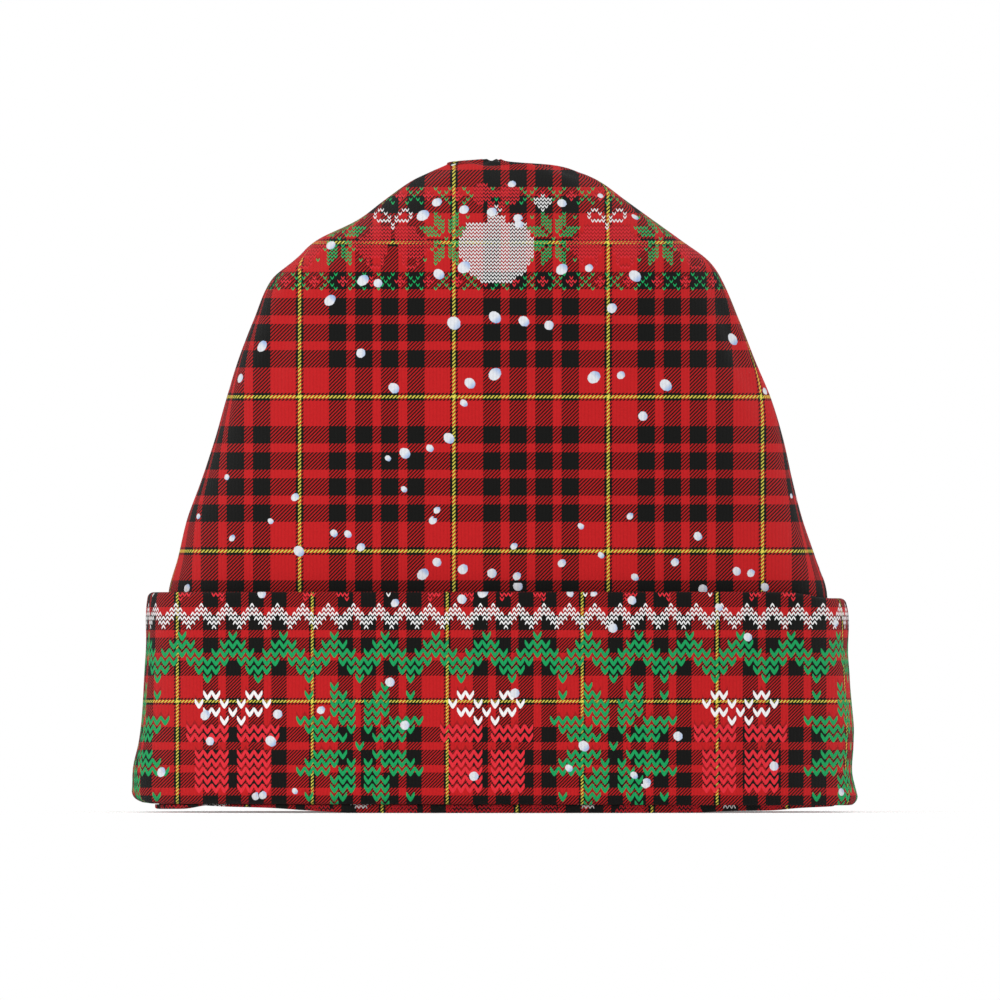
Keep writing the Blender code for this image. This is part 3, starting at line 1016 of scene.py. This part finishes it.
def crown_ring(z, inset):
    """One ring of the crown's outer or inner face. Seam and gathers show on the outer face alone."""
    half_width, half_depth, lean, pucker, share = crown_section(z, inset)
    free = ease(z, *OUT_OF_CUFF) * ease(hat_height - z, *UNDER_TIP)
    groove = ease(hat_height - z, *SEAM_END) if inset == 0 else 0.0
    gather = PUCKER * pucker if inset == 0 else 0.0

    def place(turn):
        x, y = plan_point(turn, half_width, half_depth)
        out = swell(turn, z, SWELL_SEED) * free - press_in(turn, share) - seam_pinch(y, z) * groove
        out = 1 + out / math.hypot(x, y)
        return x * out + lean, y * out, z + gather * (math.cos(GATHERS * turn) - 1) / 2

    return (half_width, half_depth), place


def even_heights(top, inset, step):
    """Heights of the crown's rings from its foot to its top, about one step of cloth apart."""
    heights, travelled, z = [], step, skirt_foot
    before = crown_section(z, inset)[0]
    while z < top - LAST_STEP:
        half_width = crown_section(z, inset)[0]
        travelled += math.hypot(half_width - before, FINE_STEP)
        before = half_width
        if travelled >= step:
            heights.append(z)
            travelled = 0.0
        z += FINE_STEP
    return heights + [top]


outside = [crown_ring(z, 0.0) for z in reversed(even_heights(hat_height, 0.0, RING_STEP))]
print(len(outside), "rings on the crown's outside")

# %% Crown
INNER_STEP = 0.005
INNER_TOP = 0.0005
INNER_PIT = 0.0008
CUFF_TOP_ROW = 590
inner_top = hat_height - crown_wall - INNER_TOP
inside = [crown_ring(z, crown_wall) for z in even_heights(inner_top, crown_wall, INNER_STEP)]
bm = bmesh.new()
grid, outer_edge, inner_edge = loft(bm, outside + inside)
cap(bm, outer_edge, hat_height * TIP_PIT)
cap(bm, inner_edge, hat_height - crown_wall - INNER_PIT)
lay_flat(bm, outside + inside, grid, len(outside) // 2, -1)
snow = sow_snow(bm, seed=11, foot=up(CUFF_TOP_ROW), top=hat_height)
print("snow placed and scattered on the crown:", snow)
make_piece("printed_crown", bm, "crown", crown_jersey)

# %% [markdown]
# The cuff. It is the crown's lower cloth turned up, so it is one doubled band: a fold at its top, a roll at
# its bottom where the cloth comes back out from under the crown, and a lip inside on which the crown stands.
# Its top corner on the right has slipped down a little in the photograph.

# %% Rings of the cuff
CUFF_ROWS = (
    # height, standoff
    (0.00, 0.66),
    (0.15, 0.56),
    (0.30, 0.50),
    (0.50, 0.52),
    (0.72, 0.70),
    (0.90, 0.95),
    (1.00, 1.00),
)
CUFF_SIDES = (
    # height, left and right swelling in millimetres
    (0.00, 0.8, 0.3),
    (0.05, 0.9, 0.3),
    (0.16, 1.4, -0.7),
    (0.28, 0.4, 0.6),
    (0.40, 0.1, 1.8),
    (0.62, 0.3, 1.8),
    (0.76, 0.0, 0.9),
    (0.92, 0.0, 0.3),
    (1.00, -0.3, -0.6),
)
CUFF_SAG = 0.0019
CUFF_TILT = 0.0008
SAG_RISE = 0.01
SAG_SIDE = (0.80, 0.97)
SWELL_SIDE = (0.75, 0.98)
FREE_OUT = (0.001, 0.004)
SEAM_OUT = (0.0025, 0.0045)


def standoff(z):
    """The air between the crown and the cuff's inner face, at height z."""
    share = (z - cuff_foot) / (cuff_top - cuff_foot)
    return cuff_standoff * read_rows(CUFF_ROWS, share)[0]


def cuff_ring(z, out):
    """One ring of the cuff, at a distance outside the crown. What lies further in moves less."""
    half_width, half_depth, lean = crown_section(max(z, skirt_foot), 0.0, out)[:3]
    left, right = read_rows(CUFF_SIDES, (z - cuff_foot) / (cuff_top - cuff_foot))
    high = ease(z, cuff_foot + SAG_RISE, cuff_top)
    free = ease(out, *FREE_OUT)
    groove = ease(out, *SEAM_OUT)

    def place(turn):
        x, y = plan_point(turn, half_width, half_depth)
        push = swell(turn, z, SWELL_SEED) - seam_pinch(y, z) * groove
        push += (right if x > 0 else left) / 1000 * ease(abs(math.cos(turn)), *SWELL_SIDE)
        push = 1 + push * free / math.hypot(x, y)
        sag = CUFF_SAG * high * ease(math.cos(turn), *SAG_SIDE)
        tilt = CUFF_TILT * (1 - high) * free * math.cos(turn)
        return x * push + lean, y * push, z - sag - tilt

    return (half_width, half_depth), place


print(f"the cuff's top stands {cuff_standoff * 1000:.1f} mm off the crown")

# %% Cuff
FACE_STEPS, ROLL_STEPS, FOLD_STEPS = 34, 6, 8
CUFF_FOOT_ROW = 799
roll_top = cuff_foot + cuff_wall
fold = cuff_wall / 2
fold_middle = cuff_top - fold
inner_low = GAP + standoff(cuff_foot)
inner_high = GAP + standoff(fold_middle)
lip = crown_section(skirt_foot, crown_wall)[0] - crown_section(skirt_foot, 0.0)[0]
face_tall = fold_middle - roll_top
face = [roll_top + face_tall * step / FACE_STEPS for step in range(1, FACE_STEPS)]
rings = [cuff_ring(cuff_foot, lip), cuff_ring(cuff_foot, lip / 2), cuff_ring(cuff_foot, 0.0)]
for step in range(ROLL_STEPS + 1):
    angle = math.pi / 2 * step / ROLL_STEPS
    rings.append(cuff_ring(roll_top - cuff_wall * math.cos(angle), inner_low + cuff_wall * math.sin(angle)))
anchor = len(rings) + len(face) // 2
rings += [cuff_ring(z, GAP + standoff(z) + cuff_wall) for z in face]
for step in range(FOLD_STEPS + 1):
    angle = math.pi * step / FOLD_STEPS
    out = inner_high + fold + fold * math.cos(angle)
    rings.append(cuff_ring(fold_middle + fold * math.sin(angle), out))
rings += [cuff_ring(z, GAP + standoff(z)) for z in reversed(face[::3])]
rings += [cuff_ring(roll_top, inner_low), cuff_ring(roll_top, lip)]

bm = bmesh.new()
grid, first, last = loft(bm, rings)
lay_flat(bm, rings, grid, anchor, 1)
bmesh.ops.bridge_loops(bm, edges=first + last)
snow = sow_snow(bm, seed=12, foot=up(CUFF_FOOT_ROW), top=up(CUFF_TOP_ROW))
print("snow placed and scattered on the cuff:", snow)
make_piece("printed_cuff", bm, "cuff", cuff_jersey)

# %% [markdown]
# The hem. The lower edge of the cloth is turned in once more and stands on the floor, so a thin strip of it
# shows under the cuff. It is not quite level: towards both sides of the front it lifts by up to 2 mm.

# %% Hem
HEM_LIFT = (
    # place across, lift in millimetres
    (-1.00, 1.0),
    (-0.94, 1.2),
    (-0.88, 2.2),
    (-0.80, 1.9),
    (-0.66, 1.5),
    (-0.56, 0.8),
    (-0.42, 0.0),
    (0.00, 0.0),
    (0.58, 0.0),
    (0.68, 0.5),
    (0.82, 0.7),
    (0.90, 1.4),
    (1.00, 1.8),
)
HEM_ROUND = 0.0008
EDGE_STEPS, TURN_STEPS = 4, 6
HEM_FOOT_ROW = 860


def hem_ring(z, out):
    """One ring of the hem, at a distance outside the crown's inner face."""
    half_width, half_depth, lean = crown_section(max(z, skirt_foot), crown_wall, out)[:3]
    low = 1 - ease(z, 0.0, cuff_foot - GAP)

    def place(turn):
        x, y = plan_point(turn, half_width, half_depth)
        return x + lean, y, z + low * read_rows(HEM_LIFT, x / half_width)[0] / 1000

    return (half_width, half_depth), place


foot_top = cuff_foot - GAP
outer_out, inner_out = -GAP, -GAP - hem_wall
middle_out = (outer_out + inner_out) / 2
half_wall = hem_wall / 2
rings = [hem_ring(0.0, inner_out), hem_ring(0.0, inner_out / 2), hem_ring(0.0, hem_reach - HEM_ROUND)]
for step in range(1, EDGE_STEPS + 1):
    angle = math.pi / 2 * step / EDGE_STEPS
    rings.append(hem_ring(HEM_ROUND * (1 - math.cos(angle)), hem_reach - HEM_ROUND * (1 - math.sin(angle))))
anchor = len(rings) - 1
rings += [hem_ring(foot_top, hem_reach), hem_ring(foot_top, outer_out)]
for step in range(TURN_STEPS + 1):
    angle = math.pi * step / TURN_STEPS
    z = hem_top - half_wall + half_wall * math.sin(angle)
    rings.append(hem_ring(z, middle_out + half_wall * math.cos(angle)))
rings.append(hem_ring(foot_top, inner_out))

bm = bmesh.new()
grid, first, last = loft(bm, rings)
lay_flat(bm, rings, grid, anchor, 1)
bmesh.ops.bridge_loops(bm, edges=first + last)
snow = sow_snow(bm, seed=13, foot=up(HEM_FOOT_ROW), top=up(CUFF_FOOT_ROW))
print("snow placed and scattered on the hem:", snow)
make_piece("printed_hem", bm, "hem_fold", hem_jersey)

# %% [markdown]
# The stage. The photograph is lit evenly and softly on white, from almost level with the floor. The floor is
# a disc of pale paper that glows faintly, so that it is as white as the background, and thins out to nothing
# a little way round the hat.

# %% Floor
FLOOR_FULL, FLOOR_GONE = 0.11, 0.16
bm = bmesh.new()
bmesh.ops.create_circle(bm, cap_ends=True, segments=96, radius=0.5)
floor_mesh = bpy.data.meshes.new("floor")
bm.to_mesh(floor_mesh)
bm.free()
floor = bpy.data.objects.new("floor", floor_mesh)
bpy.context.collection.objects.link(floor)
paper = bpy.data.materials.new("pale_paper")
paper.use_nodes = True
tree = paper.node_tree
shader = tree.nodes["Principled BSDF"]
shader.inputs["Base Color"].default_value = linear("FAFAFA")
shader.inputs["Roughness"].default_value = 0.9
shader.inputs["Specular IOR Level"].default_value = 0.0
shader.inputs["Emission Color"].default_value = linear("FFFFFF")
shader.inputs["Emission Strength"].default_value = 0.16
place = add(tree, "TexCoord").node.outputs["Object"]
distance = add(tree, "VectorMath", place, operation="LENGTH").node.outputs["Value"]
tree.links.new(add(tree, "MapRange", distance, FLOOR_FULL, FLOOR_GONE, 1.0, 0.0), shader.inputs["Alpha"])
floor_mesh.materials.append(paper)
print("the floor shows up to", FLOOR_GONE, "m from the hat's middle")

# %% [markdown]
# A white sky and two broad lamps give the soft light: a key from the left and a weak fill from the right. A
# long lens far away gives the photograph's flat view.

# %% Lights
world = bpy.data.worlds.new("studio")
bpy.context.scene.world = world
world.use_nodes = True
world.node_tree.nodes["Background"].inputs["Color"].default_value = (1, 1, 1, 1)
world.node_tree.nodes["Background"].inputs["Strength"].default_value = 1.0
LAMP_AIM = (0, 0, 0.08)


def lamp(name, place, size, power):
    """A square area lamp that points at the hat."""
    data = bpy.data.lights.new(name, "AREA")
    data.size = size
    data.energy = power
    obj = bpy.data.objects.new(name, data)
    obj.location = place
    obj.rotation_euler = (Vector(LAMP_AIM) - Vector(place)).to_track_quat("-Z", "Y").to_euler()
    bpy.context.collection.objects.link(obj)


lamp("key", (-1.0, -1.0, 1.1), 0.9, 5.0)
lamp("fill", (1.1, -0.9, 0.5), 1.2, 0.4)
print("lamps", [light.name for light in bpy.data.lights])

# %% Camera
SENSOR = 36
camera_data = bpy.data.cameras.new("camera")
camera = bpy.data.objects.new("camera", camera_data)
bpy.context.collection.objects.link(camera)
aim = Vector((camera_across, 0, (PHOTO_FLOOR - frame_middle) * outline_pixel))
camera.location = (camera_across, -CAMERA_FAR, CAMERA_HEIGHT)
camera.rotation_euler = (aim - camera.location).to_track_quat("-Z", "Y").to_euler()
camera_data.sensor_width = SENSOR
camera_data.lens = SENSOR * CAMERA_FAR / (PHOTO_FRAME * outline_pixel)
camera_data.clip_end = 100
bpy.context.scene.camera = camera
bpy.context.scene.view_settings.view_transform = "Standard"
print(f"lens {camera_data.lens:.0f} mm, camera {camera.location.z:.3f} m above the floor")
